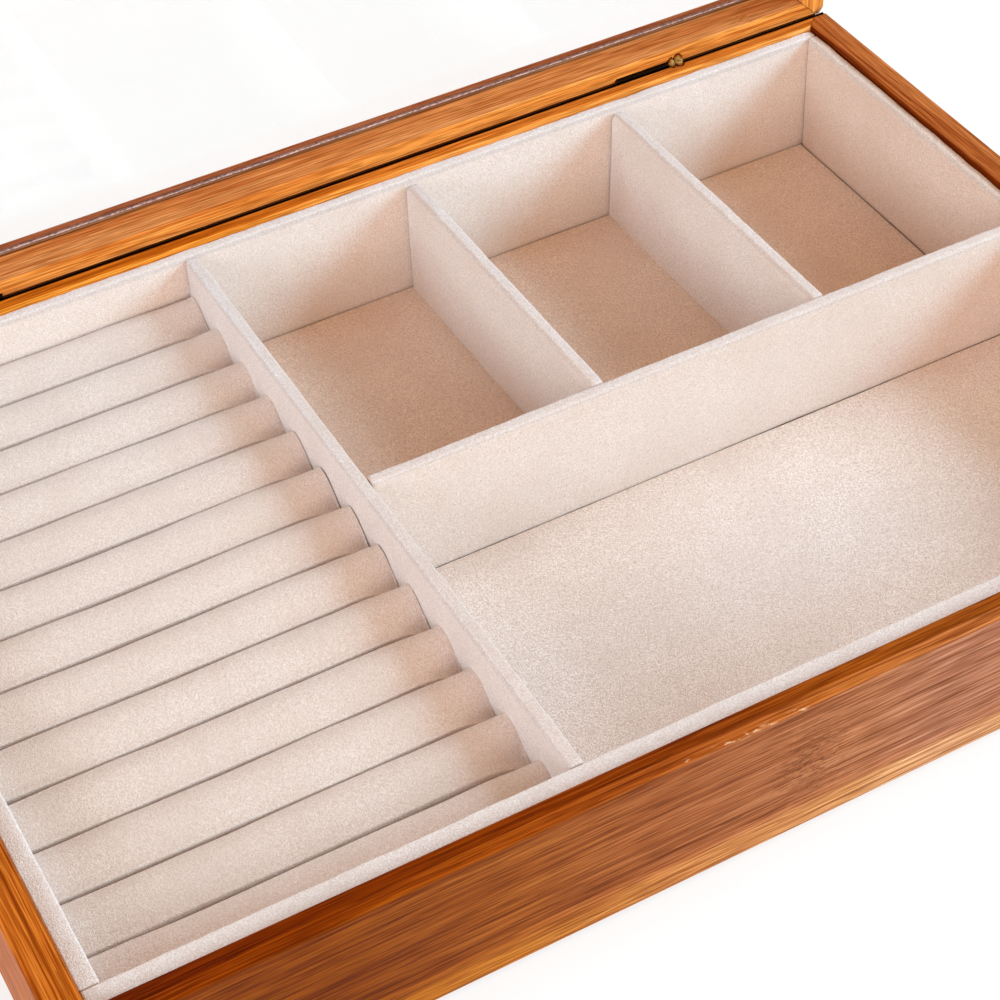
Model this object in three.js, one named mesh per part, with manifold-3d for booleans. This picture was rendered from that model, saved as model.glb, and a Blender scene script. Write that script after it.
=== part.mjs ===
// A flip-top jewelry box: a mitred bamboo case with a fabric lining, ring rolls and dividers,
// and a mitred bamboo lid frame that holds a clear pane and turns on two small brass hinges.
// Millimetres, +Z up, +X along the length, +Y to the back. The origin is the middle of the underside.

import * as THREE from 'three';
import { mergeVertices } from 'three/addons/utils/BufferGeometryUtils.js';
import Module from 'manifold-3d';

const wasm = await Module();
wasm.setup();

// Case
const innerLength = 290;
const innerWidth = 196;
const sideWall = 7.4;
const frontWall = 6.4;
const backWall = 7.4;
const caseHeight = 39.4;
const caseCornerRound = 0.8;
const outerEdgeRound = 0.9;
const innerEdgeRound = 0.5;
const footRound = 2.4;
const bottomThickness = 2.4;
const bottomLip = 2.2;

// Lid
const lidHeight = 15;
const lidTopRound = 1.8;
const lidCornerRound = 2.4;
const paneThickness = 2;
const paneSetback = 2.5;
const paneBite = 2.9;
const sandedCornerLength = 3;
const sandedCornerDepth = 1.5;

// Hinges
const openAngle = Math.PI / 2;
const hingeAxisInset = 4.25;
const hingeEndInset = 43.3;
const barrelLength = 15.4;
const knuckleCount = 3;
const knuckleRadius = 0.7;
const knuckleBore = 0.42;
const pinRadius = 0.3;
const leafThickness = 0.8;
const leafDepth = 8;
const caseCoveRadius = 1.2;
const lidCoveRadius = 0.65;
const collarLength = 1.7;
const collarRadius = 1.75;
const ballRadius = 2.15;
const ballLength = 2.8;

// Lining
const liningDrop = 2.3;
const backPanel = 2.4;
const frontPanel = 5.4;
const leftPanel = 4.2;
const rightPanel = 2.4;
const ringDivider = 3.2;
const longDivider = 2.6;
const smallDivider = 2.8;
const fabricRound = 1.1;
const dividerCornerRound = 4;
const floorPad = 0.8;
const floorPadRound = 0.3;

// Ring section
const ringSectionLength = 99.4;
const ringBaseHeight = 6;
const rollCrestDepth = 12;
const rollCrown = 4.4;
const rollCount = 13;
const rollEndRound = 0.9;

// Clearances
const mitreGap = 0.2;
const fitGap = 0.3;
const rimGap = 0.3;
const stopGap = 0.3;
const hingeGap = 0.25;
const overrun = 5;

// Counts of steps on the curves
const roundSteps = 5;
const circleSteps = 20;
const rollSteps = 14;
const softSteps = 2;

// Places that follow from the sizes
const halfLength = innerLength / 2;
const backInner = (frontWall + innerWidth - backWall) / 2;
const frontInner = backInner - innerWidth;
const outerDepth = frontWall + innerWidth + backWall;
const hingeY = backInner + hingeAxisInset;
const hingeZ = caseHeight + rimGap / 2;
const paneBottom = lidHeight - paneSetback - paneThickness;

function bamboo(color) {
  return new THREE.MeshStandardMaterial({ color, roughness: 0.45, metalness: 0 });
}

const caseWood = bamboo(0xb5672f);
const lidWood = bamboo(0xc87a3a);
const boardWood = bamboo(0xc9a06a);
const suede = new THREE.MeshStandardMaterial({ color: 0xe4d5ca, roughness: 0.95, metalness: 0 });
const brass = new THREE.MeshStandardMaterial({ color: 0xb08a45, roughness: 0.3, metalness: 1 });
const clearPane = new THREE.MeshStandardMaterial({
  color: 0xdfe6e6,
  roughness: 0.05,
  metalness: 0,
  transparent: true,
  opacity: 0.3,
});

const jewelryBox = new THREE.Group();
const lid = new THREE.Group();
lid.position.set(0, hingeY, hingeZ);
lid.rotation.x = -openAngle;
jewelryBox.add(lid);

function addPart(parent, name, geometry, material, place = [0, 0, 0], turnZ = 0) {
  const mesh = new THREE.Mesh(geometry, material);
  mesh.name = name;
  mesh.position.set(...place);
  mesh.rotation.z = turnZ;
  parent.add(mesh);
}

// A closed geometry with merged corners and no empty triangles, as a solid that can be cut.
function toSolid(geometry) {
  const bare = geometry.clone();
  bare.deleteAttribute('normal');
  bare.deleteAttribute('uv');
  const merged = mergeVertices(bare);
  const index = merged.index.array;
  const kept = [];
  for (let i = 0; i < index.length; i += 3) {
    const [a, b, c] = index.slice(i, i + 3);
    if (a !== b && b !== c && c !== a) kept.push(a, b, c);
  }
  return new wasm.Manifold(new wasm.Mesh({
    numProp: 3,
    vertProperties: new Float32Array(merged.attributes.position.array),
    triVerts: new Uint32Array(kept),
  }));
}

function toGeometry(solid) {
  const mesh = solid.getMesh();
  const geometry = new THREE.BufferGeometry();
  geometry.setAttribute('position', new THREE.Float32BufferAttribute(mesh.vertProperties, 3));
  geometry.setIndex(new THREE.Uint32BufferAttribute(mesh.triVerts, 1));
  geometry.computeVertexNormals();
  return geometry;
}

function cut(geometry, cutters) {
  const solid = cutters.reduce((rest, cutter) => rest.subtract(toSolid(cutter)), toSolid(geometry));
  return toGeometry(solid);
}

function boxBetween([x0, y0, z0], [x1, y1, z1]) {
  const box = new THREE.BoxGeometry(x1 - x0, y1 - y0, z1 - z0);
  return box.translate((x0 + x1) / 2, (y0 + y1) / 2, (z0 + z1) / 2);
}

// A cylinder along X from x0 to x1 about the axis y = z = 0.
function rodAlongX(radius, x0, x1) {
  const rod = new THREE.CylinderGeometry(radius, radius, x1 - x0, circleSteps);
  return rod.rotateZ(-Math.PI / 2).translate((x0 + x1) / 2, 0, 0);
}

// A rail whose section is drawn as (distance out from its inner face, height). It runs along X,
// faces out along +Y, and its two ends are cut on the mitre towards rails of the given widths.
function mitredRail(section, run, width, endWidth) {
  const rail = new THREE.ExtrudeGeometry(section, {
    depth: run,
    steps: 1,
    bevelEnabled: false,
    curveSegments: roundSteps,
  });
  const position = rail.attributes.position;
  for (let i = 0; i < position.count; i += 1) {
    const out = position.getX(i);
    const up = position.getY(i);
    const end = position.getZ(i) < run / 2 ? -1 : 1;
    const reach = run / 2 + out * endWidth / width - mitreGap / 2;
    position.setXYZ(i, end * reach, out, up);
  }
  rail.computeVertexNormals();
  return rail;
}

// What is cut away at the four upright corners of a frame to round them.
function cornerCutters(centreY, round, height) {
  const x = halfLength + sideWall;
  const y = outerDepth / 2;
  const shape = new THREE.Shape();
  shape.moveTo(x, y - round);
  shape.absarc(x - round, y - round, round, 0, Math.PI / 2, false);
  shape.lineTo(x - round, y + overrun);
  shape.lineTo(x + overrun, y + overrun);
  shape.lineTo(x + overrun, y - round);
  shape.closePath();
  const turns = [[1, 1], [-1, 1], [-1, -1], [1, -1]];
  return turns.map(([sx, sy]) => {
    const cutter = new THREE.ExtrudeGeometry(shape, {
      depth: height + 2 * overrun,
      bevelEnabled: false,
      curveSegments: roundSteps,
    });
    cutter.translate(0, 0, -overrun);
    if (sx !== sy) {
      cutter.scale(sx, sy, 1);
      flipFaces(cutter);
    } else {
      cutter.rotateZ(sx < 0 ? Math.PI : 0);
    }
    return cutter.translate(0, centreY, 0);
  });
}

// Turns the faces of a mirrored geometry the right way out again.
function flipFaces(geometry) {
  const position = geometry.attributes.position;
  const corner = new THREE.Vector3();
  const other = new THREE.Vector3();
  for (let i = 0; i < position.count; i += 3) {
    corner.fromBufferAttribute(position, i);
    other.fromBufferAttribute(position, i + 2);
    position.setXYZ(i, other.x, other.y, other.z);
    position.setXYZ(i + 2, corner.x, corner.y, corner.z);
  }
}

// The edges of the seam at the back: both frames end in a cove round the hinge axis and then in a
// bevel, so the two bevels meet and stop the lid when it stands open. The case's cove is the wider.
const bevelShift = stopGap / Math.sqrt(2);

function coveOf(radius) {
  const flat = Math.sqrt(radius ** 2 - (rimGap / 2) ** 2);
  const bevel = (Math.sqrt(2 * radius ** 2 - bevelShift ** 2) - bevelShift) / 2;
  return {
    radius,
    flat,
    bevel,
    start: Math.atan2(rimGap / 2, -flat),
    end: Math.atan2(bevel + bevelShift, bevel),
  };
}

const caseCove = coveOf(caseCoveRadius);
const lidCove = coveOf(lidCoveRadius);

function wallSection(width, bevelled) {
  const shape = new THREE.Shape();
  const rebate = bottomLip + fitGap;
  const top = caseHeight;
  shape.moveTo(rebate, 0);
  shape.lineTo(width - footRound, 0);
  shape.absarc(width - footRound, footRound, footRound, -Math.PI / 2, 0, false);
  if (bevelled) {
    const axisUp = top + rimGap / 2;
    shape.lineTo(width, axisUp - (width - hingeAxisInset) - bevelShift);
    shape.lineTo(hingeAxisInset + caseCove.bevel, axisUp - caseCove.bevel - bevelShift);
    shape.absarc(hingeAxisInset, axisUp, caseCove.radius, -caseCove.end, -caseCove.start, true);
  } else {
    shape.lineTo(width, top - outerEdgeRound);
    shape.absarc(width - outerEdgeRound, top - outerEdgeRound, outerEdgeRound, 0, Math.PI / 2, false);
  }
  shape.lineTo(innerEdgeRound, top);
  shape.absarc(innerEdgeRound, top - innerEdgeRound, innerEdgeRound, Math.PI / 2, Math.PI, false);
  shape.lineTo(0, bottomThickness + fitGap);
  shape.lineTo(rebate, bottomThickness + fitGap);
  shape.closePath();
  return shape;
}

function lidSection(width, bevelled) {
  const shape = new THREE.Shape();
  const bite = paneBite + fitGap;
  shape.moveTo(innerEdgeRound, 0);
  if (bevelled) {
    shape.lineTo(hingeAxisInset - lidCove.flat, 0);
    shape.absarc(hingeAxisInset, -rimGap / 2, lidCove.radius, lidCove.start, lidCove.end, true);
    shape.lineTo(width, width - hingeAxisInset - rimGap / 2 + bevelShift);
  } else {
    shape.lineTo(width - outerEdgeRound, 0);
    shape.absarc(width - outerEdgeRound, outerEdgeRound, outerEdgeRound, -Math.PI / 2, 0, false);
  }
  shape.lineTo(width, lidHeight - lidTopRound);
  shape.absarc(width - lidTopRound, lidHeight - lidTopRound, lidTopRound, 0, Math.PI / 2, false);
  shape.lineTo(innerEdgeRound, lidHeight);
  shape.absarc(innerEdgeRound, lidHeight - innerEdgeRound, innerEdgeRound, Math.PI / 2, Math.PI, false);
  shape.lineTo(0, paneBottom + paneThickness + fitGap / 2);
  shape.lineTo(bite, paneBottom + paneThickness + fitGap / 2);
  shape.lineTo(bite, paneBottom - fitGap / 2);
  shape.lineTo(0, paneBottom - fitGap / 2);
  shape.lineTo(0, innerEdgeRound);
  shape.absarc(innerEdgeRound, innerEdgeRound, innerEdgeRound, Math.PI, 1.5 * Math.PI, false);
  shape.closePath();
  return shape;
}

// The pin's ball finial, as radius and distance from the end of the barrel. The same outline
// grown by a clearance is the pocket that both frames have round it.
const collarLengthShares = [0, 0.3, 0.75, 1];
const collarRadiusShares = [0.45, 0.85, 1, 0.62];

function finialOutline(grow) {
  const points = collarLengthShares.map((share, i) => (
    new THREE.Vector2(collarRadius * collarRadiusShares[i] + grow, hingeGap + collarLength * share)
  ));
  const halfBall = ballLength / 2;
  const centre = hingeGap + collarLength + halfBall;
  const startAngle = Math.asin(collarRadiusShares.at(-1) * collarRadius / ballRadius);
  for (let i = 1; i <= roundSteps * 2; i += 1) {
    const angle = startAngle + (Math.PI - startAngle) * i / (roundSteps * 2);
    const radius = i === roundSteps * 2 ? 0 : (ballRadius + grow) * Math.sin(angle);
    points.push(new THREE.Vector2(radius, centre - (halfBall + grow) * Math.cos(angle)));
  }
  return points;
}

// Turned about X, with its outer end towards +X or -X, and the barrel's outer end at x = 0.
function turnedAboutX(points, side) {
  return new THREE.LatheGeometry(points, circleSteps).rotateZ(-side * Math.PI / 2);
}

function pinGeometry(side) {
  const inner = -barrelLength;
  const points = [
    new THREE.Vector2(0, inner),
    new THREE.Vector2(pinRadius, inner),
    new THREE.Vector2(pinRadius, hingeGap),
    ...finialOutline(0),
  ];
  return turnedAboutX(points, side);
}

function pocketGeometry(side) {
  const inner = -barrelLength - hingeGap;
  const radius = knuckleRadius + hingeGap;
  const points = [
    new THREE.Vector2(0, inner),
    new THREE.Vector2(radius, inner),
    new THREE.Vector2(radius, 0),
    ...finialOutline(fitGap),
  ];
  return turnedAboutX(points, side);
}

// A hinge leaf with its knuckles, about the axis y = z = 0 and between x = -barrelLength and 0.
// The leaf stands in a slot in the rail, up for the lid and down for the case.
function leafGeometry(up, side) {
  const knuckle = (barrelLength - (knuckleCount - 1) * hingeGap) / knuckleCount;
  const ends = [[-barrelLength, knuckle - barrelLength], [-knuckle, 0]];
  const middle = [[knuckle + hingeGap - barrelLength, -knuckle - hingeGap]];
  const own = up ? middle : ends;
  const others = up ? ends : middle;
  const low = up ? 0 : -leafDepth;
  const high = up ? leafDepth : 0;
  const half = leafThickness / 2;
  let leaf = toSolid(boxBetween([-barrelLength, -half, low], [0, half, high]));
  for (const [x0, x1] of others) {
    leaf = leaf.subtract(toSolid(rodAlongX(knuckleRadius + hingeGap, x0 - hingeGap, x1 + hingeGap)));
  }
  for (const [x0, x1] of own) {
    leaf = leaf.add(toSolid(rodAlongX(knuckleRadius, x0, x1)));
  }
  leaf = leaf.subtract(toSolid(rodAlongX(knuckleBore, -barrelLength - overrun, overrun)));
  const geometry = toGeometry(leaf);
  return side < 0 ? geometry.rotateZ(Math.PI) : geometry;
}

function leafSlot(up) {
  const half = leafThickness / 2 + fitGap / 2;
  const reach = leafDepth + fitGap;
  return boxBetween(
    [-barrelLength - hingeGap, -half, up ? 0 : -reach],
    [hingeGap, half, up ? reach : 0],
  );
}

const hingeSides = [['left', -1], ['right', 1]];

function hingeX(side) {
  return side * (halfLength - hingeEndInset);
}

// The pockets and slots of both hinges, about the hinge axis.
function hingeCutters(up) {
  return hingeSides.flatMap(([, side]) => {
    const slot = leafSlot(up);
    if (side < 0) slot.rotateZ(Math.PI);
    return [pocketGeometry(side), slot].map((cutter) => cutter.translate(hingeX(side), 0, 0));
  });
}

// The lid's two sharp corners at the seam are sanded off flat. Each cutter is a pyramid whose base
// lies on the sanded plane, spread well past the wood, and whose point is outside the wood.
const sandedSpreadShare = 3;

function sandedCornerCutters() {
  const corner = new THREE.Vector3(halfLength + sideWall, -lidCove.flat, rimGap / 2);
  const along = new THREE.Vector3(-sandedCornerLength, 0, 0);
  const across = new THREE.Vector3(0, -sandedCornerDepth, 0);
  const bevelward = new THREE.Vector3(0, sandedCornerDepth, sandedCornerDepth);
  const base = [along, across, bevelward].map((step) => corner.clone().add(step));
  const middle = new THREE.Vector3();
  for (const point of base) middle.addScaledVector(point, 1 / base.length);
  const spread = base.map((point) => point.clone().lerpVectors(middle, point, sandedSpreadShare));
  const tip = corner.clone().add(new THREE.Vector3(overrun, 0, -overrun));
  return hingeSides.map(([, side]) => {
    const [p, q, r] = side > 0 ? spread : [spread[1], spread[0], spread[2]];
    const faces = [[p, q, r], [q, p, tip], [r, q, tip], [p, r, tip]];
    const values = faces.flat().flatMap((point) => [side * point.x, point.y, point.z]);
    const cutter = new THREE.BufferGeometry();
    cutter.setAttribute('position', new THREE.Float32BufferAttribute(values, 3));
    return cutter;
  });
}

function addCase() {
  const walls = [
    ['front_wall', innerLength, frontWall, sideWall, [0, frontInner, 0], Math.PI],
    ['back_wall', innerLength, backWall, sideWall, [0, backInner, 0], 0],
  ];
  const corners = cornerCutters(0, caseCornerRound, caseHeight);
  for (const [name, run, width, endWidth, place, turn] of walls) {
    const rail = mitredRail(wallSection(width, name === 'back_wall'), run, width, endWidth);
    const placed = rail.rotateZ(turn).translate(...place);
    const cutters = name === 'back_wall' ? hingeCutters(false) : [];
    for (const cutter of cutters) cutter.translate(0, hingeY, hingeZ);
    addPart(jewelryBox, name, cut(placed, [...corners, ...cutters]), caseWood);
  }
  for (const [name, side] of [['left_wall', -1], ['right_wall', 1]]) {
    addPart(jewelryBox, name, cut(sideRail(wallSection(sideWall, false), side, 0), [
      ...corners,
      seamCutter(false),
    ]), caseWood);
  }
  const reach = halfLength + bottomLip;
  const board = boxBetween(
    [-reach, frontInner - bottomLip, 0],
    [reach, backInner + bottomLip, bottomThickness],
  );
  addPart(jewelryBox, 'bottom_board', board, boardWood);
}

// A side rail runs along Y between a front rail and a back rail of unlike widths, so its mitres differ.
function sideRail(section, side, up) {
  const rail = new THREE.ExtrudeGeometry(section, {
    depth: innerWidth,
    steps: 1,
    bevelEnabled: false,
    curveSegments: roundSteps,
  });
  const position = rail.attributes.position;
  for (let i = 0; i < position.count; i += 1) {
    const out = position.getX(i);
    const height = position.getY(i);
    const atStart = position.getZ(i) < innerWidth / 2;
    const front = frontInner - out * frontWall / sideWall + mitreGap / 2;
    const back = backInner + out * backWall / sideWall - mitreGap / 2;
    const nearEnd = side > 0 ? back : front;
    const farEnd = side > 0 ? front : back;
    position.setXYZ(i, side * (halfLength + out), atStart ? nearEnd : farEnd, height + up);
  }
  rail.computeVertexNormals();
  return rail;
}

// The seam's cove and bevel run on through the mitred ends of the side rails.
function seamCutter(up) {
  const shape = new THREE.Shape();
  const sign = up ? 1 : -1;
  const cove = up ? lidCove : caseCove;
  const far = backWall + overrun;
  shape.moveTo(-cove.flat, sign * rimGap / 2);
  shape.absarc(0, 0, cove.radius, sign * cove.start, sign * cove.end, up);
  shape.lineTo(far, sign * (far + bevelShift));
  shape.lineTo(far, -sign * overrun);
  shape.lineTo(-cove.flat, -sign * overrun);
  shape.closePath();
  const length = innerLength + 2 * (sideWall + overrun);
  const cutter = new THREE.ExtrudeGeometry(shape, {
    depth: length,
    bevelEnabled: false,
    curveSegments: roundSteps,
  });
  const position = cutter.attributes.position;
  for (let i = 0; i < position.count; i += 1) {
    const x = position.getZ(i) - length / 2;
    position.setXYZ(i, x, position.getX(i), position.getY(i));
  }
  return up ? cutter : cutter.translate(0, hingeY, hingeZ);
}

function addLid() {
  const back = -hingeAxisInset;
  const lift = rimGap / 2;
  const corners = cornerCutters(-hingeY, lidCornerRound, lidHeight);
  const sanded = sandedCornerCutters();
  const frontRail = mitredRail(lidSection(frontWall, false), innerLength, frontWall, sideWall);
  frontRail.rotateZ(Math.PI).translate(0, back - innerWidth, lift);
  addPart(lid, 'lid_front_rail', cut(frontRail, corners), lidWood);
  const backRail = mitredRail(lidSection(backWall, true), innerLength, backWall, sideWall);
  backRail.translate(0, back, lift);
  addPart(lid, 'lid_back_rail', cut(backRail, [...corners, ...sanded, ...hingeCutters(true)]), lidWood);
  for (const [name, side] of [['lid_left_rail', -1], ['lid_right_rail', 1]]) {
    const rail = sideRail(lidSection(sideWall, false), side, lift).translate(0, -hingeY, 0);
    addPart(lid, name, cut(rail, [...corners, ...sanded, seamCutter(true)]), lidWood);
  }
  const reach = halfLength + paneBite;
  const pane = boxBetween(
    [-reach, back - innerWidth - paneBite, paneBottom + lift],
    [reach, back + paneBite, paneBottom + paneThickness + lift],
  );
  addPart(lid, 'glass_pane', pane, clearPane);
}

function addHinges() {
  for (const [name, side] of hingeSides) {
    const x = hingeX(side);
    const axis = [x, hingeY, hingeZ];
    addPart(jewelryBox, `${name}_hinge_case_leaf`, leafGeometry(false, side), brass, axis);
    addPart(jewelryBox, `${name}_hinge_pin`, pinGeometry(side), brass, axis);
    addPart(lid, `${name}_hinge_lid_leaf`, leafGeometry(true, side), brass, [x, 0, 0]);
  }
}

// A board wrapped in fabric: every edge is rounded. It stands on z = 0, centred on x and y,
// and its upper corner at the +X end can be rounded off as well.
function wrappedBoard(length, height, thickness, round, cornerRound = 0) {
  const shape = new THREE.Shape();
  const half = length / 2;
  shape.moveTo(-half, 0);
  shape.lineTo(half, 0);
  if (cornerRound > 0) {
    shape.lineTo(half, height - cornerRound);
    shape.absarc(half - cornerRound, height - cornerRound, cornerRound, 0, Math.PI / 2, false);
  } else {
    shape.lineTo(half, height);
  }
  shape.lineTo(-half, height);
  shape.closePath();
  const board = new THREE.ExtrudeGeometry(shape, {
    depth: thickness - 2 * round,
    bevelEnabled: true,
    bevelThickness: round,
    bevelSize: round,
    bevelOffset: -round,
    bevelSegments: softSteps,
    curveSegments: roundSteps,
  });
  return board.translate(0, 0, round - thickness / 2).rotateX(Math.PI / 2);
}

// Where the faces of the lining lie.
const liningBottom = bottomThickness + fitGap;
const liningHeight = caseHeight - liningDrop - liningBottom;
const backFace = backInner - fitGap - backPanel;
const frontFace = frontInner + fitGap + frontPanel;
const leftFace = -halfLength + fitGap + leftPanel;
const rightFace = halfLength - fitGap - rightPanel;
const ringDividerX = leftFace + ringSectionLength + ringDivider / 2;
const clearDepth = backFace - frontFace;
const longDividerY = (backFace + frontFace) / 2;
const trayLeft = ringDividerX + ringDivider / 2;
const smallBayNames = ['left', 'middle', 'right'];
const smallBayLength = (rightFace - trayLeft + smallDivider) / smallBayNames.length - smallDivider;

function addLining() {
  const endToEnd = innerLength - 2 * fitGap;
  const between = clearDepth - 2 * fitGap;
  const middleY = (backFace + frontFace) / 2;
  const trayLength = rightFace - trayLeft - 2 * fitGap;
  const trayMiddleX = (rightFace + trayLeft) / 2;
  const alongX = [
    ['lining_back_panel', endToEnd, backPanel, [0, backFace + backPanel / 2]],
    ['lining_front_panel', endToEnd, frontPanel, [0, frontFace - frontPanel / 2]],
    ['long_divider', trayLength, longDivider, [trayMiddleX, longDividerY]],
  ];
  for (const [name, length, thickness, [x, y]] of alongX) {
    const board = wrappedBoard(length, liningHeight, thickness, fabricRound);
    addPart(jewelryBox, name, board, suede, [x, y, liningBottom]);
  }
  const alongY = [
    ['lining_left_panel', leftPanel, leftFace - leftPanel / 2],
    ['lining_right_panel', rightPanel, rightFace + rightPanel / 2],
    ['ring_divider', ringDivider, ringDividerX],
  ];
  for (const [name, thickness, x] of alongY) {
    const board = wrappedBoard(between, liningHeight, thickness, fabricRound);
    addPart(jewelryBox, name, board, suede, [x, middleY, liningBottom], Math.PI / 2);
  }
}

// Three small bays behind the long divider, and one large bay in front of it.
function addBays() {
  const bayBack = backFace;
  const bayFront = longDividerY + longDivider / 2;
  const dividerLength = bayBack - bayFront - 2 * fitGap;
  const bayMiddleY = (bayBack + bayFront) / 2;
  const pad = (length, depth) => (
    wrappedBoard(length - 2 * fitGap, depth - 2 * fitGap, floorPad, floorPadRound)
      .rotateX(-Math.PI / 2)
      .translate(0, -(depth - 2 * fitGap) / 2, floorPad / 2)
  );
  smallBayNames.forEach((name, i) => {
    const start = trayLeft + i * (smallBayLength + smallDivider);
    const x = start + smallBayLength / 2;
    const floor = pad(smallBayLength, bayBack - bayFront);
    addPart(jewelryBox, `${name}_bay_floor_pad`, floor, suede, [x, bayMiddleY, liningBottom]);
    if (i < smallBayNames.length - 1) {
      const size = [dividerLength, liningHeight, smallDivider];
      const divider = wrappedBoard(...size, fabricRound, dividerCornerRound);
      const place = [start + smallBayLength + smallDivider / 2, bayMiddleY, liningBottom];
      addPart(jewelryBox, `${name}_bay_divider`, divider, suede, place, Math.PI / 2);
    }
  });
  const largeBack = longDividerY - longDivider / 2;
  const largeFloor = pad(rightFace - trayLeft, largeBack - frontFace);
  const place = [(rightFace + trayLeft) / 2, (largeBack + frontFace) / 2, liningBottom];
  addPart(jewelryBox, 'large_bay_floor_pad', largeFloor, suede, place);
}

// Foam rolls in a row on a base: straight sides below, where they press together, and a crown on
// top that is a flattened half circle.
function addRingRolls() {
  const x = leftFace + ringSectionLength / 2;
  const length = ringSectionLength - 2 * fitGap;
  const base = boxBetween(
    [-length / 2, frontFace + fitGap, 0],
    [length / 2, backFace - fitGap, ringBaseHeight],
  );
  addPart(jewelryBox, 'ring_roll_base', base, suede, [x, 0, liningBottom]);
  const rollBottom = liningBottom + ringBaseHeight + fitGap;
  const pitch = clearDepth / rollCount;
  const half = (pitch - fitGap) / 2;
  const crownBottom = caseHeight - rollCrestDepth - rollBottom - rollCrown;
  const section = new THREE.Shape();
  section.moveTo(-half, 0);
  section.lineTo(half, 0);
  section.lineTo(half, crownBottom);
  section.absellipse(0, crownBottom, half, rollCrown, 0, Math.PI, false);
  section.closePath();
  for (let i = 0; i < rollCount; i += 1) {
    const roll = new THREE.ExtrudeGeometry(section, {
      depth: length - 2 * rollEndRound,
      bevelEnabled: true,
      bevelThickness: rollEndRound,
      bevelSize: rollEndRound,
      bevelOffset: -rollEndRound,
      bevelSegments: softSteps,
      curveSegments: rollSteps,
    });
    roll.translate(0, 0, rollEndRound - length / 2).rotateX(Math.PI / 2).rotateZ(Math.PI / 2);
    const y = backFace - pitch * (i + 0.5);
    const name = `ring_roll_${String(i + 1).padStart(2, '0')}`;
    addPart(jewelryBox, name, roll, suede, [x, y, rollBottom]);
  }
}

addCase();
addLid();
addHinges();
addLining();
addBays();
addRingRolls();

export default jewelryBox;
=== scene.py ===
# A flip-top jewelry box: bamboo case and framed lid, suede lining, ring rolls, brass hinges.
import math

import bpy
import numpy as np
from mathutils import Matrix, Vector, noise


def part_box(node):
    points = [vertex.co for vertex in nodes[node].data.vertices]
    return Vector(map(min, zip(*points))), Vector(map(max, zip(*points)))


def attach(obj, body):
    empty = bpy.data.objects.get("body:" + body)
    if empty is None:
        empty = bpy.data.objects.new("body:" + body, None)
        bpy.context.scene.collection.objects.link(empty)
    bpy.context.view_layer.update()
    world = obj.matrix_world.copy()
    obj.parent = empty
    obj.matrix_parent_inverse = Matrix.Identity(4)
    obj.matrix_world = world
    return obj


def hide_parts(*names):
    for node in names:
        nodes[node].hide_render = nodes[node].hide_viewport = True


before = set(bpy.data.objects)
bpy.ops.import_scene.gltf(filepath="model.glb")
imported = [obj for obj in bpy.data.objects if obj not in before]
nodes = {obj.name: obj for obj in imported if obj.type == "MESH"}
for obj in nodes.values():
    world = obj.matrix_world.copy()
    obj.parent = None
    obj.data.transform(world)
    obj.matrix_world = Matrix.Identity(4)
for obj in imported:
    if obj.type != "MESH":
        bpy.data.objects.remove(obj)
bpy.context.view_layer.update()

MM = 0.001

# The lid frame's opening at rest: half its length, its lower and its upper edge, and the depth of
# the pane's groove, in millimetres
OPENING_HALF, OPENING_LOW, OPENING_HIGH = 145.0, 43.8, 239.8
GROOVE_DEPTH = 3.0

# Camera, at the photograph's viewing angle
CAMERA_PLACE = Vector((-190.43, -357.91, 404.21)) * MM
CAMERA_RIGHT = Vector((0.87448, -0.48404, -0.03157))
CAMERA_UP = Vector((0.35618, 0.59658, 0.71919))
CAMERA_BACK = Vector((-0.32928, -0.64016, 0.69410))
FOCAL_PIXELS = 2412.561
FRAME_PIXELS = 1000
SENSOR = 36.0
NEAREST, FURTHEST = 0.01, 50

# How far each side of a ring roll swells into the slit beside it, in metres
SLIT_FILL = 0.00014
# How far each ring roll reaches into the gap at the ring divider, in millimetres, from the back
# roll to the front one. A roll that reaches less than the limit that follows them gets a painted
# shade on its end, a near black brown that stands for the shadow in the gap.
ROLL_ENDS = (0.19, 0.27, 0.27, 0.27, 0.19, 0.17, 0.17, 0.17, 0.19, 0.27, 0.27, 0.27, 0.27)
SHADED_END_BELOW = 0.2
# How far a ring roll may reach past its solid at its other end, in metres
FAR_END_REACH = 0.0002
# The crown of a ring roll: share of its width from the back, and height over the plain solid's
# crest in millimetres, along the roll and at its end by the divider
ROLL_CROWN = [
    (0.0, -1.1, -2.4), (0.012, -0.98, -1.6), (0.035, -0.78, -0.95), (0.07, -0.48, -0.3),
    (0.12, -0.1, 0.2), (0.18, 0.2, 0.5), (0.25, 0.42, 0.62), (0.33, 0.54, 0.5), (0.41, 0.5, 0.1),
    (0.49, 0.36, -0.6), (0.57, 0.16, -1.5), (0.65, -0.1, -2.6), (0.72, -0.38, -3.8),
    (0.79, -0.68, -5.1), (0.86, -0.92, -5.9), (0.93, -1.1, -6.1), (1.0, -1.25, -6.2),
]
# The length over which the crown changes towards the end, in metres
ROLL_TAPER = 0.012
# How far under each edge of the crown a point keeps the side straight, in metres
CROWN_SUPPORT = 0.00012
# Heights of the points on a roll's straight sides, and of the middle of its section, as shares of
# the side's height
SIDE_SHARES = (0.0, 0.45, 0.8)
MIDDLE_SHARE = 0.6
# The distance between a roll's sections, the rounding of its ends, and the places of the two
# sections beside each end, in metres
SECTION_SPACING = 0.003
END_ROUNDING = 0.00016
END_SECTIONS = (0.0005, 0.0014)
# Sizes of the rings that close a roll's end, as shares of its outline
CLOSING_SHARES = (0.6, 0.25)
# A roll is held below GLUED_SHARE of its side's height, and comes free over FREE_SHARE of it.
GLUED_SHARE, FREE_SHARE = 0.6, 0.5

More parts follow.
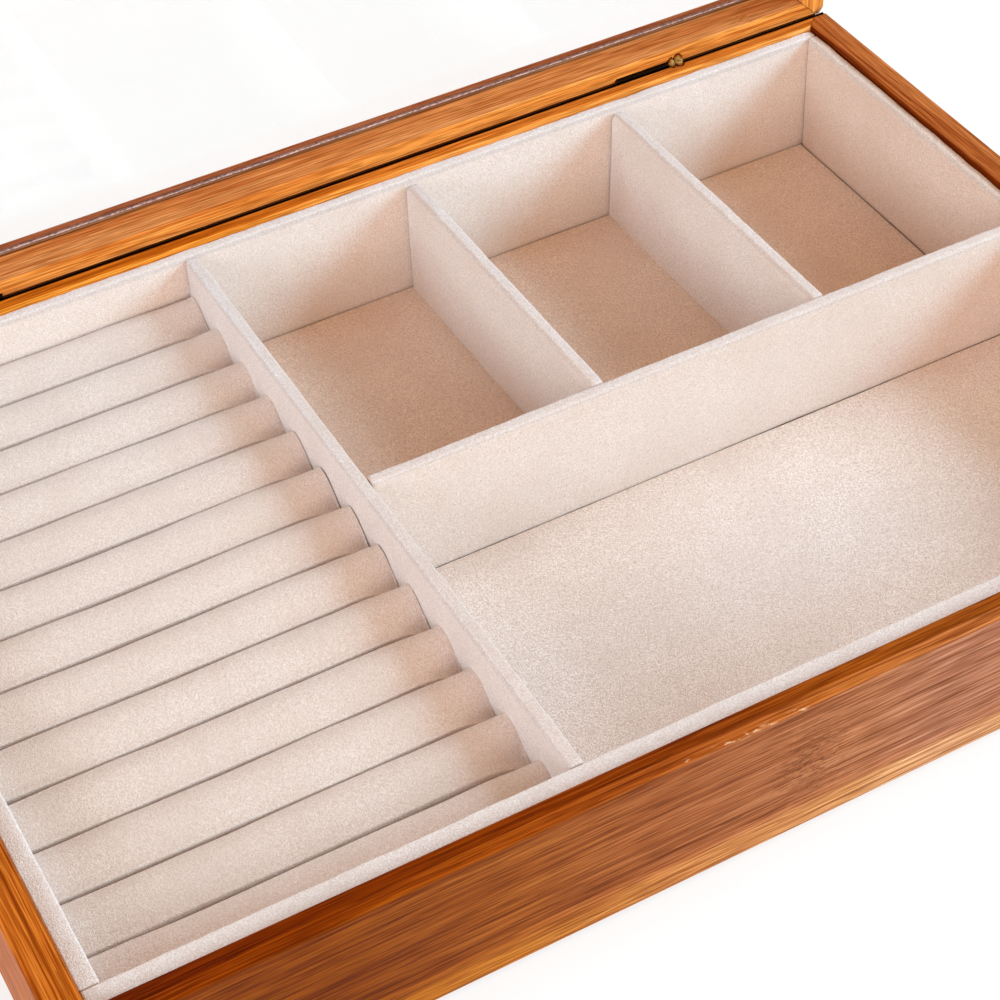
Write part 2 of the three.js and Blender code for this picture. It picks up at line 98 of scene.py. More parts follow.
# The rolls' cloth simulation: its frames, the enlargement at which it runs, its settings, and the
# furthest that it may carry a point, in metres
CLOTH_FRAMES = 20
CLOTH_SCALE = 20.0
CLOTH_SETTINGS = {
    "quality": 5, "mass": 0.3, "tension_stiffness": 12, "compression_stiffness": 12,
    "shear_stiffness": 4, "bending_stiffness": 0.4, "use_pressure": True,
    "uniform_pressure_force": 1.5, "shrink_min": -0.02, "vertex_group_mass": "held",
}
CLOTH_CAP = 0.0008

# Unevenness of the cloth: the length and height of each layer of waves, in metres
BOARD_WAVES = [(0.045, 0.00016), (0.012, 0.00009), (0.004, 0.00004)]
PAD_WAVES = [(0.05, 0.00012), (0.015, 0.00005)]
ROLL_WAVES = [(0.03, 0.0004), (0.011, 0.00016), (0.005, 0.00006)]
# Lumps on a board's top edge: the lengths of the long and the short ones in metres, the strength
# of the short ones and the height in metres. They fade out below TOP_SHARE of the board's height.
LONG_LUMPS, SHORT_LUMPS, SHORT_STRENGTH, LUMP_HEIGHT = 0.006, 0.0017, 0.8, 0.00016
TOP_SHARE = 0.9
# Spacing of the points on boards and pads, and the rounding of the pads' edges, in metres
BOARD_SPACING, PAD_SPACING, PAD_RADIUS = 0.0018, 0.002, 0.0003
# How far the ring divider's back end stands aside, in millimetres
DIVIDER_SKEW = -0.7

# Lights: name, azimuth and elevation seen from the box in degrees, distance and size in metres,
# and red, green and blue strength. The lamps are cool, and the light all round is warm and fills
# the shade.
LIGHTS = [
    ("right", 90, 32, 1.6, 0.75, (13.2, 18.5, 22.8)),
    ("front_right", 135, 22, 1.6, 0.8, (6.2, 14.4, 19.0)),
    ("front", 180, 22, 1.6, 0.8, (5.6, 4.6, 3.6)),
    ("front_left", 225, 22, 1.6, 0.8, (5.6, 7.1, 8.4)),
    ("left", 270, 22, 1.6, 0.8, (7.6, 10.6, 12.6)),
]
LIGHT_TARGET = Vector((0, 0, 0.03))
WORLD_LIGHT = (0.64, 0.36, 0.155)
# The floor lies just under the box. Seen directly, FLOOR_GLOW of its white is a glow of its own.
FLOOR_RADIUS, FLOOR_HEIGHT = 8, -0.0003
FLOOR_GREY = 0.8
FLOOR_GLOW = 0.72


def set_camera():
    data = bpy.data.cameras.new("camera")
    data.sensor_width = SENSOR
    data.lens = FOCAL_PIXELS / FRAME_PIXELS * SENSOR
    data.clip_start = NEAREST
    data.clip_end = FURTHEST
    camera = bpy.data.objects.new("camera", data)
    rotation = Matrix((CAMERA_RIGHT, CAMERA_UP, CAMERA_BACK)).transposed()
    camera.matrix_world = Matrix.Translation(CAMERA_PLACE) @ rotation.to_4x4()
    bpy.context.scene.collection.objects.link(camera)
    bpy.context.scene.camera = camera


def add_light(name, azimuth, elevation, distance, size, strength):
    """A round area light that faces the box. Azimuth 180 is in front, 90 at the right."""
    turn, rise = math.radians(azimuth), math.radians(elevation)
    direction = Vector((
        math.sin(turn) * math.cos(rise),
        math.cos(turn) * math.cos(rise),
        math.sin(rise),
    ))
    data = bpy.data.lights.new(name, "AREA")
    data.shape = "DISK"
    data.size = size
    data.energy = max(strength)
    data.color = [channel / max(strength) for channel in strength]
    lamp = bpy.data.objects.new(name, data)
    lamp.location = LIGHT_TARGET + direction * distance
    lamp.rotation_euler = direction.to_track_quat("Z", "Y").to_euler()
    # The lamp isn't mirrored by brass, lacquer or the pane's outer face.
    lamp.visible_glossy = False
    bpy.context.scene.collection.objects.link(lamp)


class Tree:
    """A short way to add shader nodes to one node tree."""

    def __init__(self, tree):
        self.tree = tree
        self.tree.nodes.clear()

    def node(self, kind, inputs=None, **settings):
        made = self.tree.nodes.new(kind)
        for key, value in settings.items():
            setattr(made, key, value)
        for key, value in (inputs or {}).items():
            self.set(made.inputs[key], value)
        return made

    def set(self, socket, value):
        if isinstance(value, bpy.types.NodeSocket):
            self.tree.links.new(value, socket)
        elif socket.type == "RGBA":
            socket.default_value = (*value, 1)
        else:
            socket.default_value = value

    def math(self, operation, *values, clamp=False):
        made = self.node("ShaderNodeMath", operation=operation, use_clamp=clamp)
        for socket, value in zip(made.inputs, values):
            self.set(socket, value)
        return made.outputs[0]

    def mix(self, factor, a, b, blend="MIX"):
        made = self.node("ShaderNodeMix", data_type="RGBA", blend_type=blend, clamp_factor=True)
        self.set(made.inputs["Factor"], factor)
        for name, value in (("A", a), ("B", b)):
            socket = next(s for s in made.inputs if s.name == name and s.type == "RGBA")
            self.set(socket, value)
        return next(s for s in made.outputs if s.type == "RGBA")

    def ramp(self, factor, stops):
        made = self.node("ShaderNodeValToRGB", {"Fac": factor})
        while len(made.color_ramp.elements) < len(stops):
            made.color_ramp.elements.new(0.5)
        for element, (place, color) in zip(made.color_ramp.elements, stops):
            element.position = place
            element.color = (*color, 1)
        return made.outputs["Color"]

    def noise(self, vector, scale, detail=2.0, roughness=0.5, distortion=0.0):
        made = self.node("ShaderNodeTexNoise", {
            "Vector": vector, "Scale": scale, "Detail": detail,
            "Roughness": roughness, "Distortion": distortion,
        })
        return made.outputs["Fac"]

    def step(self, value, start, end):
        """0 below start and 1 above end, smooth between them."""
        made = self.node("ShaderNodeMapRange", {
            "Value": value, "From Min": start, "From Max": end,
        }, interpolation_type="SMOOTHSTEP")
        return made.outputs["Result"]

    def weighted(self, first, *others):
        """The sum of the values times their shares. Each argument is (value, share)."""
        total = self.math("MULTIPLY", *first)
        for part in others:
            total = self.math("ADD", total, self.math("MULTIPLY", *part))
        return total

    def vector(self, operation, a, b):
        return self.node("ShaderNodeVectorMath", {0: a, 1: b}, operation=operation).outputs[0]

    def split(self, vector):
        made = self.node("ShaderNodeSeparateXYZ", {0: vector})
        return [made.outputs[i] for i in range(3)]

    def mapped(self, vector, scale, rotation=(0, 0, 0)):
        made = self.node("ShaderNodeMapping", {
            "Vector": vector, "Rotation": rotation, "Scale": scale,
        })
        return made.outputs[0]

    def bump(self, height, strength, distance):
        made = self.node("ShaderNodeBump", {
            "Strength": strength, "Distance": distance, "Height": height,
        })
        return made.outputs[0]

    def principled(self, inputs):
        return self.node("ShaderNodeBsdfPrincipled", inputs).outputs[0]

    def blend(self, factor, first, second):
        """The first shader at factor 0, and the second at 1."""
        return self.node("ShaderNodeMixShader", {0: factor, 1: first, 2: second}).outputs[0]

    def surface(self, shader):
        self.node("ShaderNodeOutputMaterial", {"Surface": shader})


def linear(color):
    """A colour given as 0 to 255 display values, as linear light."""
    channels = [c / 255 for c in color]
    return tuple(c / 12.92 if c <= 0.04045 else ((c + 0.055) / 1.055) ** 2.4 for c in channels)


def grey(value):
    return (value, value, value)


def new_material(name):
    material = bpy.data.materials.new(name)
    material.use_nodes = True
    return material, Tree(material.node_tree)


def millimetres(t):
    """The row frame's own coordinates in millimetres, as a vector and as three numbers."""
    place = t.node("ShaderNodeTexCoord").outputs["Object"]
    scaled = t.vector("MULTIPLY", place, (1 / MM, 1 / MM, 1 / MM))
    return scaled, t.split(scaled)


def banded(t, color, axes, bands):
    """The colour times tones that change along an axis. bands are (axis, [(place in mm, tone)])."""
    for axis, stops in bands:
        low, high = stops[0][0], stops[-1][0]
        share = t.node("ShaderNodeMapRange", {
            "Value": axes[axis], "From Min": low, "From Max": high,
        })
        tones = t.ramp(share.outputs["Result"], [
            ((at - low) / (high - low), value if isinstance(value, tuple) else grey(value))
            for at, value in stops
        ])
        color = t.mix(1.0, color, tones, "MULTIPLY")
    return color


def suede_material(name, tint, shade, seed, bands, end_shade=None):
    """Suede cloth: a short worm-like nap that shows as light and dark flecks, and a soft sheen.

    seed moves the pattern. The last argument is a painted shade for the faces that look along +X,
    at the end of a roll by the divider: a near black brown that stands for the shadow in the gap.
    """
    material, t = new_material(name)
    place, axes = millimetres(t)
    place = t.vector("ADD", place, (seed, seed * 1.7, seed * 0.6))
    # The nap is a fine noise that a wider one bends, drawn out a little to one side.
    drift = t.node("ShaderNodeTexNoise", {"Vector": place, "Scale": 0.7, "Detail": 2})
    bend = t.vector("MULTIPLY", drift.outputs["Color"], (1.8, 1.8, 1.8))
    curled = t.mapped(t.vector("ADD", place, bend), (1.0, 0.6, 0.85), (0.4, 0.3, 0.7))
    nap = t.noise(curled, 3.9, 0.5, 0.4, 0.1)
    fuzz = t.noise(place, 6.0, 0, 0.5)
    brushed = t.noise(place, 0.05, 2, 0.5)
    flecks = t.weighted((nap, 0.68), (fuzz, 0.32))
    color = t.mix(t.step(flecks, 0.38, 0.62), shade, tint)
    color = t.mix(t.math("MULTIPLY", t.step(brushed, 0.35, 0.7), 0.3), color, shade)
    color = banded(t, color, axes, bands)
    # Painted shade: the faces that look along +X, at a roll's end in the gap by the divider, take
    # the near black brown that stands for the gap's shadow.
    if end_shade:
        facing = t.split(t.node("ShaderNodeTexCoord").outputs["Normal"])[0]
        color = t.mix(t.step(facing, 0.8, 0.92), color, end_shade)
    t.surface(t.principled({
        "Base Color": color, "Roughness": 0.95, "Normal": t.bump(flecks, 0.8, 0.00025),
        "Specular IOR Level": 0.12, "Sheen Weight": 0.35, "Sheen Roughness": 0.45,
        "Sheen Tint": (1.0, 0.97, 0.95),
    }))
    return material


def bamboo_material(name, along, seed, tones, bands, marks, scuffs, seam, seamed):
    """Laminated bamboo: strips with long fibres, thin dark vessels and the cane's blotched joints.

    along is the axis that the fibres follow, and seed moves the pattern. bands are as in banded.
    marks are joints of the cane: (place along the fibres, half width, other axis, place on it, half
    width, strength). scuffs are the two ends of the worn stretch of the outer top edge. seam is a
    painted shade round the groove along the hinge line, which darkens the wood there nearly to
    black: (y, z, radius). A seamed rail, which lies at that groove, has no gloss. All places are in
    millimetres.
    """
    dark, mid, light = tones
    material, t = new_material(name)
    axes = millimetres(t)[1]
    run = axes[along]
    across = [axes[i] for i in range(3) if i != along]
    base = t.node("ShaderNodeCombineXYZ", {0: run, 1: across[0], 2: across[1]}).outputs[0]
    base = t.vector("ADD", base, (seed * 37.1, seed * 5.3, seed * 3.9))

    def stretched(share, vector=base):
        """Coordinates with the fibres' direction drawn out."""
        return t.mapped(vector, (share, 1, 1))

    def bell(value, middle, width):
        """1 in the middle, and falling off to both sides."""
        gap = t.math("DIVIDE", t.math("SUBTRACT", value, middle), width)
        return t.math("EXPONENT", t.math("MULTIPLY", t.math("MULTIPLY", gap, gap), -1.0))

    # The fibres wander from side to side, in millimetres. At the cane's joints they swirl and
    # break up.
    wave = 2.2
    mask = 0.0
    for at, width, other, level, reach, strength in marks:
        spot = t.math("MULTIPLY", bell(run, at, width), bell(axes[other], level, reach))
        mask = t.math("ADD", mask, t.math("MULTIPLY", spot, strength))
    wander = t.noise(stretched(0.03), 0.12, 2)
    shift = t.math("MULTIPLY", t.math("SUBTRACT", wander, 0.5), wave)
    if marks:
        swirl = t.noise(stretched(0.2), 0.8, 3, 0.6)
        local = t.math("MULTIPLY", t.math("SUBTRACT", swirl, 0.5), t.math("MULTIPLY", mask, wave))
        shift = t.math("ADD", shift, local)
    offset = t.node("ShaderNodeCombineXYZ", {1: shift, 2: shift}).outputs[0]
    fibres = t.vector("ADD", base, offset)

    broad = t.noise(stretched(0.016, fibres), 0.22, 3, 0.6)
    streak = t.noise(stretched(0.014, fibres), 0.8, 2, 0.6)
    fine = t.noise(stretched(0.02, fibres), 1.7, 2, 0.7)
    vessel = t.noise(stretched(0.05, fibres), 1.9, 1, 0.5)
    hair = t.noise(stretched(0.03, fibres), 3.1, 1, 0.5)
    tone = t.weighted((broad, 0.24), (streak, 0.24), (fine, 0.52))
    color = t.ramp(t.step(tone, 0.38, 0.62), [(0.0, dark), (0.5, mid), (1.0, light)])
    lines = t.ramp(t.step(hair, 0.34, 0.6), [(0.0, (0.7, 0.61, 0.54)), (1.0, (1.1, 1.12, 1.15))])
    color = t.mix(1.0, color, lines, "MULTIPLY")
    pores = t.step(vessel, 0.62, 0.70)
    color = t.mix(t.math("MULTIPLY", pores, 0.5), color, [c * 0.6 for c in dark])
    if marks:
        dashes = t.step(t.noise(stretched(0.3), 1.5, 2, 0.6), 0.53, 0.63)
        spots = t.math("MULTIPLY", t.math("MULTIPLY", dashes, mask, clamp=True), 0.8)
        color = t.mix(spots, color, [c * 0.55 for c in dark])
    color = banded(t, color, axes, bands)
    roughness = t.math("ADD", t.math("MULTIPLY", streak, 0.16), 0.34)
    if seam:
        # Painted shade: the wood round the narrow groove along the hinge line is darkened
        # nearly to black and made rough.
        *centre, reach = seam
        soft = 0.12
        away = [t.math("SUBTRACT", axes[i], level) for i, level in zip((1, 2), centre)]
        square = t.math("ADD", *(t.math("MULTIPLY", a, a) for a in away))
        painted_seam_shade = t.step(t.math("SQRT", square), reach + soft, reach - soft)
        color = t.mix(painted_seam_shade, color, linear((16, 6, 3)))
        roughness = t.math("MAXIMUM", roughness, painted_seam_shade)
    relief = t.math("SUBTRACT", t.math("MULTIPLY", fine, 0.7), t.math("MULTIPLY", pores, 0.5))
    if scuffs:
        # Chips in the lacquer along the outer top edge, where the pale wood shows.
        low, high = scuffs
        fade = 4
        flake = t.step(t.noise(stretched(0.35), 1.2, 2, 0.6), 0.55, 0.68)
        edge = t.math("MULTIPLY", bell(axes[1], *SCUFF_DEPTH), bell(axes[2], *SCUFF_HEIGHT))
        where = t.math("MULTIPLY", t.step(run, low - fade, low), t.step(run, high + fade, high))
        worn = t.math("MULTIPLY", t.math("MULTIPLY", flake, edge), t.math("MULTIPLY", where, 0.7))
        color = t.mix(worn, color, linear((226, 190, 152)))
        roughness = t.math("ADD", roughness, t.math("MULTIPLY", worn, 0.3))
    t.surface(t.principled({
        "Base Color": color, "Roughness": roughness, "Normal": t.bump(relief, 0.4, 0.00012),
        "Specular IOR Level": 0.0 if seamed else 0.04,
    }))
    return material


def brass_material(name, bright, dull):
    """Old brass: worn patches between the bright and the dull tone, and fine scratches along X."""
    material, t = new_material(name)
    place = millimetres(t)[0]
    worn = t.noise(place, 0.9, 4, 0.6)
    scratch = t.noise(t.mapped(place, (0.2, 3, 3)), 3, 3)
    t.surface(t.principled({
        "Base Color": t.mix(t.step(worn, 0.4, 0.7), linear(bright), linear(dull)),
        "Metallic": 1.0,
        "Roughness": t.math("ADD", t.math("MULTIPLY", scratch, 0.2), 0.16),
        "Normal": t.bump(scratch, 0.2, 0.00004),
    }))
    return material


def glass_material():
    """A clear pane that lets the lamps' light through.

    Its ground rim shows in the groove as a dull brown band with a pale line, which is a painted
    highlight of the pane's edge.
    """
    material, t = new_material("clear_pane")
    place, axes = millimetres(t)
    haze = t.noise(place, 0.02, 3, 0.5)
    glass = t.principled({
        "Base Color": (0.995, 1.0, 0.998), "IOR": 1.5, "Transmission Weight": 1.0,
        "Roughness": t.math("MULTIPLY", t.step(haze, 0.5, 0.8), 0.003),
    })
    clear = t.node("ShaderNodeBsdfTransparent", {"Color": (0.93, 0.95, 0.94)}).outputs[0]
    path = t.node("ShaderNodeLightPath").outputs
    pane = t.blend(path["Is Shadow Ray"], glass, clear)

    # How far inside the frame's opening a point lies, and how deep in the groove, in millimetres
    inside_x = t.math("SUBTRACT", OPENING_HALF, t.math("ABSOLUTE", axes[0]))
    inside_z = t.math("MINIMUM", t.math("SUBTRACT", axes[2], OPENING_LOW),
                      t.math("SUBTRACT", OPENING_HIGH, axes[2]))
    inside = t.math("MINIMUM", inside_x, inside_z)
    covered = t.step(inside, 0.05, -0.05)
    grain = t.noise(t.mapped(place, (0.15, 1, 1)), 2.5, 3)
    depth = t.math("ADD", t.math("MULTIPLY", inside, -1.0),
                   t.math("MULTIPLY", t.math("SUBTRACT", grain, 0.5), 0.4))
    # The pale line in the rim is a painted highlight, the glint on the pane's edge.
    brown, pale, dull = (linear(c) for c in ((150, 96, 80), (236, 190, 178), (158, 100, 88)))
    rim_color = t.ramp(t.math("DIVIDE", depth, GROOVE_DEPTH), [
        (0.0, brown), (0.14, brown), (0.18, pale), (0.25, pale), (0.3, dull), (1.0, dull),
    ])
    chips = t.noise(t.mapped(place, (0.5, 1, 1)), 2.2, 2)
    chipped = t.ramp(t.step(chips, 0.4, 0.6), [(0.0, grey(0.6)), (1.0, grey(1.35))])
    rim = t.principled({
        "Base Color": t.mix(1.0, rim_color, chipped, "MULTIPLY"), "Roughness": 0.6,
    })
    t.surface(t.blend(covered, pane, rim))
    return material


def board_material():
    """The thin board under the case, with a pale pressed-fibre face."""
    material, t = new_material("pressed_board")
    place = millimetres(t)[0]
    dark, mid, light = (linear(c) for c in ((176, 138, 92), (188, 150, 104), (206, 172, 124)))
    speck = t.noise(place, 1.3, 4, 0.65)
    cloud = t.noise(place, 0.04, 3, 0.5)
    color = t.mix(t.step(speck, 0.35, 0.7), dark, light)
    color = t.mix(t.math("MULTIPLY", cloud, 0.4), color, mid)
    t.surface(t.principled({
        "Base Color": color, "Roughness": 0.7, "Normal": t.bump(speck, 0.3, 0.0001),
    }))
    return material


def seen_directly(t):
    """1 for what is seen straight, mirrored or through the pane, and 0 for light on things."""
    path = t.node("ShaderNodeLightPath").outputs
    seen = t.math("ADD", path["Is Camera Ray"], path["Is Glossy Ray"])
    seen = t.math("ADD", seen, path["Is Transmission Ray"], clamp=True)
    return t.math("MULTIPLY", seen, t.math("LESS_THAN", path["Diffuse Depth"], 0.5))


def set_stage():
    """The floor, the surroundings and the lamps.

    The floor and the surroundings are white to the eye, and light the box more softly than that.
    """
    scene = bpy.context.scene
    scene.view_settings.view_transform = "Standard"
    world = bpy.data.worlds.new("studio")
    scene.world = world
    world.use_nodes = True
    t = Tree(world.node_tree)
    color = t.mix(seen_directly(t), WORLD_LIGHT, grey(1))
    background = t.node("ShaderNodeBackground", {"Color": color, "Strength": 1.0})
    t.node("ShaderNodeOutputWorld", {"Surface": background.outputs[0]})

    bpy.ops.mesh.primitive_circle_add(vertices=64, radius=FLOOR_RADIUS, fill_type="NGON",
                                      location=(0, 0, FLOOR_HEIGHT))
    floor = bpy.context.object
    floor.name = "floor"
    material, t = new_material("pale_floor")
    seen = seen_directly(t)
    plain = t.node("ShaderNodeBsdfDiffuse", {"Color": grey(FLOOR_GREY)})
    dim = t.node("ShaderNodeBsdfDiffuse", {"Color": grey(1 - FLOOR_GLOW)})
    glow = t.node("ShaderNodeEmission", {"Color": grey(1), "Strength": FLOOR_GLOW})
    lit = t.node("ShaderNodeAddShader", {0: dim.outputs[0], 1: glow.outputs[0]})
    t.surface(t.blend(seen, plain.outputs[0], lit.outputs[0]))
    floor.data.materials.append(material)
    for light in LIGHTS:
        add_light(*light)


def mesh_object(name, points, faces):
    mesh = bpy.data.meshes.new(name)
    mesh.from_pydata([tuple(p) for p in points], [], [tuple(f) for f in faces])
    mesh.validate()
    mesh.update()
    mesh.shade_smooth()
    made = bpy.data.objects.new(name, mesh)
    bpy.context.scene.collection.objects.link(made)
    return made


def edge_places(half, radius, spacing):
    """Places along one axis of a rounded box: even in the middle, and by angle in the rounding."""
    inner = half - radius
    count = max(1, round(2 * inner / spacing))
    middle = np.linspace(-inner, inner, count + 1)
    bend = inner + radius * np.tan(np.radians([11.25, 22.5, 33.75, 45]))
    return np.concatenate([-bend[::-1], middle, bend])


def rounded_box(size, radius, spacing):
    """Points, quads and outward directions of a box with rounded edges, centred on the origin."""
    half = np.array(size) / 2
    places = [edge_places(h, radius, s) for h, s in zip(half, np.broadcast_to(spacing, 3))]
    points, faces, index = [], [], {}

    def vertex(p):
        key = tuple(np.round(p, 8))
        if key not in index:
            index[key] = len(points)
            points.append(p)
        return index[key]

    for axis in range(3):
        a, b = (axis + 1) % 3, (axis + 2) % 3
        for side in (-1, 1):
            grid = np.empty((len(places[a]), len(places[b])), int)
            for i, u in enumerate(places[a]):
                for j, v in enumerate(places[b]):
                    p = np.zeros(3)
                    p[axis], p[a], p[b] = side * half[axis], u, v
                    grid[i, j] = vertex(p)
            for i in range(grid.shape[0] - 1):
                for j in range(grid.shape[1] - 1):
                    quad = (grid[i, j], grid[i + 1, j], grid[i + 1, j + 1], grid[i, j + 1])
                    faces.append(quad if side > 0 else quad[::-1])
    points = np.array(points)
    core = np.clip(points, -(half - radius), half - radius)
    out = points - core
    out /= np.linalg.norm(out, axis=1, keepdims=True)
    return core + out * radius, np.array(faces), out


def ripple(points, out, waves):
    """Points moved along their outward directions by smooth noise.

    waves are (length, height). Each layer reads the noise at a place of its own.
    """
    moved = points.copy()
    for i, (p, n) in enumerate(zip(points, out)):
        total = sum(noise.noise(Vector(p) / length + Vector((k * 7.3, 2.1, 4.7))) * height
                    for k, (length, height) in enumerate(waves))
        moved[i] = p + n * total
    return moved


def soft_piece(node, points, faces, material):
    """A piece of the lining, which stands for its node and rides on the case."""
    piece = mesh_object("suede_" + node, points, faces)
    piece.data.materials.append(material)
    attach(piece, "case")
    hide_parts(node)
    return piece


def lining_board(node, material, radius, corner=0.0, lean=0.0, skew=(0.0, 0.0),
                 low_grow=(0.0, 0.0, 0.0), high_grow=(0.0, 0.0, 0.0)):
    """A board wrapped in suede: rounded edges, a soft uneven surface and a lumpy top edge.

    The cloth stands out from the bare board by the grows, in millimetres. skew is how far the two
    ends stand aside in millimetres, the one at the lower coordinate first, and lean how far the
    foot does in metres. corner rounds the upper corner at the end with the higher coordinate.
    """
    low, high = (np.array(v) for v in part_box(node))
    low, high = low - np.array(low_grow) * MM, high + np.array(high_grow) * MM
    size, centre = high - low, (high + low) / 2
    thin = int(np.argmin(size[:2]))
    run = 1 - thin
    steps = np.full(3, BOARD_SPACING)
    steps[run] = BOARD_SPACING / 2
    # The rounding stays under half the board's thickness.
    points, faces, out = rounded_box(size, min(radius, size.min() / 2.05), steps)
    if corner:
        start = size[run] / 2 - corner, size[2] / 2 - corner
        d = np.stack([points[:, run] - start[0], points[:, 2] - start[1]], 1)
        inside = (d > 0).all(1)
        scale = d[inside].max(1) / np.linalg.norm(d[inside], axis=1)
        points[inside, run] = start[0] + d[inside, 0] * scale
        points[inside, 2] = start[1] + d[inside, 1] * scale
    points = points + centre
    height = (points[:, 2] - low[2]) / size[2]
    top = np.clip((height - TOP_SHARE) / (1 - TOP_SHARE), 0, 1)
    points = ripple(points, out, BOARD_WAVES)
    lumps = np.array([
        noise.noise(Vector((x, y, 0)) / LONG_LUMPS)
        + noise.noise(Vector((x, y, z)) / SHORT_LUMPS) * SHORT_STRENGTH
        for x, y, z in points
    ])
    points[:, 2] += top * lumps * LUMP_HEIGHT
    along = (points[:, run] - low[run]) / size[run]
    points[:, thin] += lean * (1 - height) + (skew[0] * (1 - along) + skew[1] * along) * MM
    soft_piece(node, points, faces, material)


def floor_pad(node, material, inset):
    """A thin pad of cloth over board. inset keeps it back at its right end, in millimetres."""
    low, high = (np.array(v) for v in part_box(node))
    high[0] -= inset * MM
    points, faces, out = rounded_box(high - low, PAD_RADIUS, PAD_SPACING)
    points = ripple(points + (high + low) / 2, out, PAD_WAVES)
    soft_piece(node, points, faces, material)


def roll_mesh(node, grow):
    """A foam roll: straight sides below, a round crown above that leans back, and close ends.

    grow lengthens it at the divider, in metres. Gives the points, the faces and how free each
    point is, from 0 at the glued base to 1 on top.
    """
    low, high = (np.array(v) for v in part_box(node))
    low, high = low - (0, SLIT_FILL, 0), high + (grow, SLIT_FILL, 0)
    size, centre = high - low, (high + low) / 2
    half, half_width = size[0] / 2, size[1] / 2
    straight = size[2] + ROLL_CROWN[-1][2] * MM
    middle = np.array([0.0, straight * MIDDLE_SHARE])

    def section(place):
        """Points across the roll and their heights, for one place along it."""
        end_share = np.clip((place - half) / ROLL_TAPER + 1, 0, 1) ** 2
        crown = [
            (half_width * (1 - 2 * share), size[2] + (rise + (end_rise - rise) * end_share) * MM)
            for share, rise, end_rise in ROLL_CROWN
        ]
        side = [(half_width, straight * share) for share in SIDE_SHARES]
        back, front = ([(y, z - CROWN_SUPPORT)] for y, z in (crown[0], crown[-1]))
        return np.array(side + back + crown + front + [(-y, z) for y, z in side[::-1]])

    # Each ring is a place along the roll and how far its outline is drawn in there.
    angles = np.radians([0, 22.5, 45, 67.5, 90])
    near = [(END_ROUNDING * (1 - math.cos(a)) - half, END_ROUNDING * (1 - math.sin(a)))
            for a in angles]
    near += [(place - half, 0.0) for place in END_SECTIONS]
    inner = half - END_ROUNDING
    count = round((size[0] - 2 * END_ROUNDING) / SECTION_SPACING)
    rings = near + [(x, 0.0) for x in np.linspace(-inner, inner, count + 1)[1:-1]]
    rings += [(-x, inset) for x, inset in near[::-1]]
    points = []
    for x, inset in rings:
        direction = section(x) - middle
        reach = np.linalg.norm(direction, axis=1, keepdims=True)
        ring = middle + direction * (1 - inset / reach)
        ring[:, 1] = np.maximum(ring[:, 1], 0)
        points += [(x, y, z) for y, z in ring]
    n = len(section(0))
    around = [(j, (j + 1) % n) for j in range(n)]
    faces = []
    for i in range(len(rings) - 1):
        faces += [(i * n + j, (i + 1) * n + j, (i + 1) * n + k, i * n + k) for j, k in around]
    # The ends are closed by rings that shrink to a point, so the cloth can bulge there too.
    for i, flip in ((0, False), (len(rings) - 1, True)):
        last = i * n
        closing = []
        for share in CLOSING_SHARES:
            ring = np.array(points[i * n:(i + 1) * n])
            ring[:, 1:] = middle + (ring[:, 1:] - middle) * share
            start = len(points)
            points += [tuple(p) for p in ring]
            closing += [(last + j, last + k, start + k, start + j) for j, k in around]
            last = start
        hub = len(points)
        points.append((rings[i][0], *middle))
        closing += [(last + j, last + k, hub) for j, k in around]
        faces += [face[::-1] if flip else face for face in closing]
    points = np.array(points)
    free = np.clip((points[:, 2] - straight * GLUED_SHARE) / (straight * FREE_SHARE), 0, 1)
    return points + (centre[0], centre[1], low[2]), faces, free


def press_cloth(points, faces, free):
    """Foam under slack cloth: a short cloth simulation with pressure, held at the glued base."""
    held = mesh_object("cloth_run", points * CLOTH_SCALE, faces)
    pins = held.vertex_groups.new(name="held")
    for index, share in enumerate(free):
        pins.add([index], float(1 - share), "REPLACE")
    cloth = held.modifiers.new("cloth", "CLOTH")
    for key, value in CLOTH_SETTINGS.items():
        setattr(cloth.settings, key, value)
    cloth.settings.effector_weights.gravity = 0
    cloth.collision_settings.use_collision = False
    cloth.point_cache.frame_start, cloth.point_cache.frame_end = 1, CLOTH_FRAMES
    scene = bpy.context.scene
    for frame_number in range(1, CLOTH_FRAMES + 1):
        scene.frame_set(frame_number)
    shown = held.evaluated_get(bpy.context.evaluated_depsgraph_get())
    settled = np.empty(len(points) * 3)
    shown.data.vertices.foreach_get("co", settled)
    scene.frame_set(1)
    bpy.data.objects.remove(held)
    return settled.reshape(-1, 3) / CLOTH_SCALE


